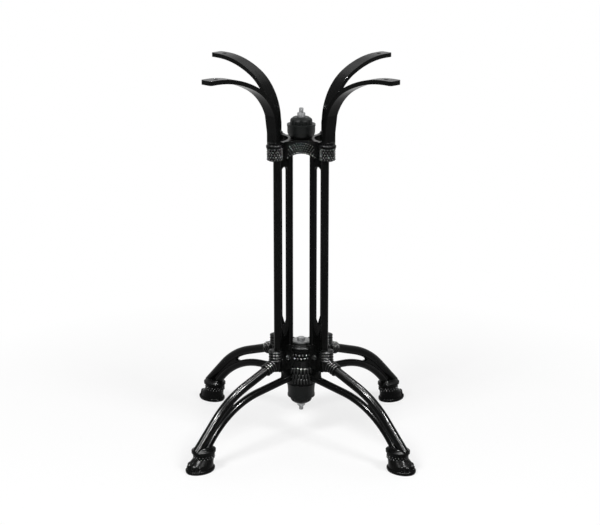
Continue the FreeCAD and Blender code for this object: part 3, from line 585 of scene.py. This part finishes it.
def add_tube(shape, points, radius, upright, closed=False, sides=TUBE_SIDES):
    """A round bar along a line of points. Upright is a direction that the line never takes."""
    rings = []
    last = len(points) - 1
    for number, point in enumerate(points):
        before, after = number - 1, number + 1
        if closed:
            after %= len(points)
        else:
            before, after = max(before, 0), min(after, last)
        along = points[after] - points[before]
        across = along.cross(upright).normalized()
        rise = across.cross(along).normalized()
        ring = []
        for step in range(sides):
            angle = 2 * math.pi * step / sides
            out = across * math.cos(angle) + rise * math.sin(angle)
            ring.append(shape.verts.new(point + out * radius))
        rings.append(ring)
    pairs = list(zip(rings, rings[1:]))
    if closed:
        pairs.append((rings[-1], rings[0]))
    else:
        shape.faces.new(rings[0][::-1])
        shape.faces.new(rings[-1])
    for ring, following in pairs:
        for step in range(sides):
            after = (step + 1) % sides
            shape.faces.new((ring[step], ring[after], following[after], following[step]))


def add_hoop(shape, place, radius, thickness):
    """A round bar bent into a hoop around the place's Z axis."""
    line = []
    for step in range(HOOP_STEPS):
        around = place @ turned(FULL_TURN * step / HOOP_STEPS)
        line.append((around @ shifted(radius, 0, 0)).translation)
    add_tube(shape, line, thickness, place.to_3x3().col[2], closed=True)


def add_oval_hoop(shape, place, length, width, thickness):
    """A round bar bent into an oval around the place's Z axis."""
    line = []
    for step in range(OVAL_STEPS):
        line.append(place @ on_oval(length, width, FULL_TURN * step / OVAL_STEPS))
    add_tube(shape, line, thickness, UP, closed=True)


def add_piece(name, shape, material):
    """Turns a shape in millimetres into a smooth piece of the base."""
    bmesh.ops.recalc_face_normals(shape, faces=shape.faces)
    shape.transform(scaled(MM, MM, MM))
    mesh = bpy.data.meshes.new(name)
    shape.to_mesh(mesh)
    shape.free()
    for face in mesh.polygons:
        face.use_smooth = True
    mesh.materials.append(material)
    piece = bpy.data.objects.new(name, mesh)
    bpy.context.scene.collection.objects.link(piece)
    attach(piece, "root")


def add_around(name, directions, carve, material):
    """Carves the same piece in each of the named directions around the Z axis."""
    for direction, degrees in directions.items():
        shape = bmesh.new()
        carve(shape, turned(degrees))
        add_piece(f"{name}_{direction}", shape, material)


def hollow_face(side, across, level, proud=0):
    """The place on a hub's hollow side, with its X axis straight out of the face."""
    slant = math.asin(across / HOLLOW_RADIUS)
    out = HOLLOW_OFFSET - HOLLOW_RADIUS * math.cos(slant) + proud
    return side @ shifted(out, across, level) @ turned(-math.degrees(slant))


def arch_level(across):
    """The level of an upper arch's edge at a distance from its middle."""
    return UPPER_CROWN + math.sqrt(ARCH_RADIUS ** 2 - across ** 2) - ARCH_RADIUS


def carve_arch(shape, side):
    """A row of beads on the edge of an upper arch, and above it rows of studs that follow the arch."""
    for number in range(ARCH_BEADS):
        across = ARCH_SPAN * (2 * number / (ARCH_BEADS - 1) - 1)
        level = arch_level(across) + ARCH_BEAD_RISE
        add_lump(shape, hollow_face(side, across, level), ARCH_BEAD)
    for row in range(ARCH_STUD_ROWS):
        studs = ARCH_BEADS - 1 - row % 2
        for number in range(studs):
            across = ARCH_STUD_PITCH * (number - (studs - 1) / 2)
            level = arch_level(across) + ARCH_STUD_START + ARCH_STUD_PITCH * row
            add_lump(shape, hollow_face(side, across, level), ARCH_STUD)


def carve_collar(shape, casting):
    """Staggered rows of pearls around the waist of a collar."""
    axis = casting @ shifted(COLLAR_OFFSET, 0, COLLAR_BOTTOM)
    for row, level in enumerate(COLLAR_PEARL_LEVELS):
        start = axis @ turned(row % 2 * HALF_TURN / COLLAR_PEARLS)
        for number in range(COLLAR_PEARLS):
            around = start @ turned(FULL_TURN * number / COLLAR_PEARLS)
            add_lump(shape, around @ shifted(COLLAR_NECK + COLLAR_PEARL_SEAT, 0, level), COLLAR_PEARL)


def carve_ring_crests(shape, casting):
    """The polished crests of the rings around an elbow and around the root of its leg."""
    elbow = casting @ shifted(COLLAR_OFFSET, 0, ELBOW_BOTTOM)
    root = casting @ shifted(LEG_COLLAR_OFFSET, 0, LEG_COLLAR_LEVEL)
    leg = root @ turned(QUARTER_TURN + LEG_COLLAR_SLOPE, "Y") @ shifted(0, 0, LEG_COLLAR_START)
    for number in range(RING_COUNT):
        along = shifted(0, 0, (number + 0.5) * RING_PITCH)
        add_hoop(shape, elbow @ along, ELBOW_RADIUS - CREST_DEPTH, CREST_THICKNESS)
        add_hoop(shape, leg @ along, LEG_COLLAR_RADIUS - CREST_DEPTH, CREST_THICKNESS)


def clear_directions(count, row, margin):
    """Even directions around the axis, staggered by row and clear of the castings' webs and rods."""
    for number in range(count):
        degrees = FULL_TURN * (number + row / 2) / count
        if abs(degrees % QUARTER_TURN - QUARTER_TURN / 2) > margin:
            yield turned(degrees)


def make_bowl_carving(material):
    """Rows of leaves with lifted tips around the lower bowl, and of pearls around the drum above it."""
    shape = bmesh.new()
    for row, (radius, level) in enumerate(BOWL_LEAF_ROWS):
        for around in clear_directions(BOWL_LEAVES, row, BOWL_LEAF_MARGIN):
            place = around @ shifted(radius, 0, level) @ turned(-BOWL_LEAF_LIFT, "Y")
            add_leaf(shape, place, BOWL_LEAF)
    for row, level in enumerate(DRUM_PEARL_LEVELS):
        for around in clear_directions(DRUM_PEARLS, row, DRUM_PEARL_MARGIN):
            add_lump(shape, around @ shifted(DRUM_RADIUS, 0, level), DRUM_PEARL)
    add_piece("bowl_carving", shape, material)


def carve_scrolls(shape, side):
    """A pair of curled scrolls on a hollow side of the lower hub, one beside each column."""
    for hand in (-1, 1):
        face = hollow_face(side, hand * SCROLL_ACROSS, SCROLL_LEVEL, SCROLL_PROUD)
        line = []
        for step in range(SCROLL_STEPS + 1):
            share = step / SCROLL_STEPS
            angle = 2 * math.pi * SCROLL_TURNS * share
            reach = SCROLL_START + SCROLL_GROWTH * share
            line.append(face @ Vector((0, hand * reach * math.cos(angle), reach * math.sin(angle))))
        add_tube(shape, line, SCROLL_THICKNESS, face.to_3x3().col[0])
        add_lump(shape, face, SCROLL_EYE)


def make_finial_lip(material):
    """The rolled lip where the lower finial meets the bowl."""
    shape = bmesh.new()
    add_hoop(shape, shifted(0, 0, LOWER_SEAT - LIP_DROP), LIP_RADIUS, LIP_THICKNESS)
    add_piece("lower_finial_lip", shape, material)


def make_stud_threads(material):
    """The thread ridge on the free end of each clamp bolt."""
    for hub, seat, sense in (("upper", UPPER_SEAT, 1), ("lower", LOWER_SEAT, -1)):
        tip = seat + sense * (BOLT_TIP_RISE - THREAD_RUN_OUT)
        line = []
        for step in range(THREAD_TURNS * THREAD_STEPS + 1):
            turns = step / THREAD_STEPS
            line.append(on_circle(BOLT_RADIUS, 2 * math.pi * turns, tip - sense * THREAD_PITCH * turns))
        shape = bmesh.new()
        add_tube(shape, line, THREAD_THICKNESS, UP, sides=THREAD_SIDES)
        add_piece(f"{hub}_stud_thread", shape, material)


def carve_foot(shape, casting):
    """Four clawed toes at the front of a foot, a bead around its sole and a roll on top of its ankle."""
    middle = casting @ shifted(FOOT_OFFSET, 0, TOE_LEVEL)
    for degrees, reach in TOES.items():
        toe = middle @ turned(degrees) @ shifted(reach, 0, 0)
        add_lump(shape, toe, TOE)
        add_lump(shape, toe @ shifted(CLAW_REACH, 0, -CLAW_DROP), CLAW)
    sole = casting @ shifted(FOOT_OFFSET, 0, SOLE_LEVEL)
    add_oval_hoop(shape, sole, SOLE_LENGTH, SOLE_WIDTH, SOLE_BEAD_THICKNESS)
    ankle = casting @ shifted(ANKLE_OFFSET, 0, ANKLE_TOP)
    add_oval_hoop(shape, ankle, ANKLE_ROLL_LENGTH, ANKLE_ROLL_WIDTH, ANKLE_ROLL_THICKNESS)


def carve_ankle(shape, casting):
    """Two staggered rows of pearls around an ankle."""
    for row, level in enumerate(ANKLE_PEARL_LEVELS):
        ankle = casting @ shifted(ANKLE_OFFSET, 0, level)
        for number in range(ANKLE_PEARLS):
            point = on_oval(ANKLE_LENGTH, ANKLE_WIDTH, FULL_TURN * (number + row / 2) / ANKLE_PEARLS)
            add_lump(shape, ankle @ shifted(*point), ANKLE_PEARL)


def make_ornament(looks):
    add_around("upper_arch_carving", SEAM_SIDES, carve_arch, looks["ornament"])
    add_around("collar_carving", CASTINGS, carve_collar, looks["ornament"])
    add_around("ring_crests", CASTINGS, carve_ring_crests, looks["ornament"])
    make_bowl_carving(looks["ornament"])
    add_around("scrolls", SEAM_SIDES, carve_scrolls, looks["ornament"])
    make_finial_lip(looks["finial"])
    make_stud_threads(looks["fastener"])
    add_around("toes", CASTINGS, carve_foot, looks["casting"])
    add_around("ankle_carving", CASTINGS, carve_ankle, looks["ornament"])


def pieces_with(materials):
    pieces = [piece for piece in bpy.context.scene.objects if piece.type == "MESH"]
    return [piece for piece in pieces if piece.data.materials[0] in materials]


bpy.context.scene.view_settings.view_transform = "Standard"
make_camera()
make_world()
make_lamps()
make_floor()
looks = dress_castings()
make_ornament(looks)
make_glints(pieces_with((looks["casting"], looks["ornament"])))
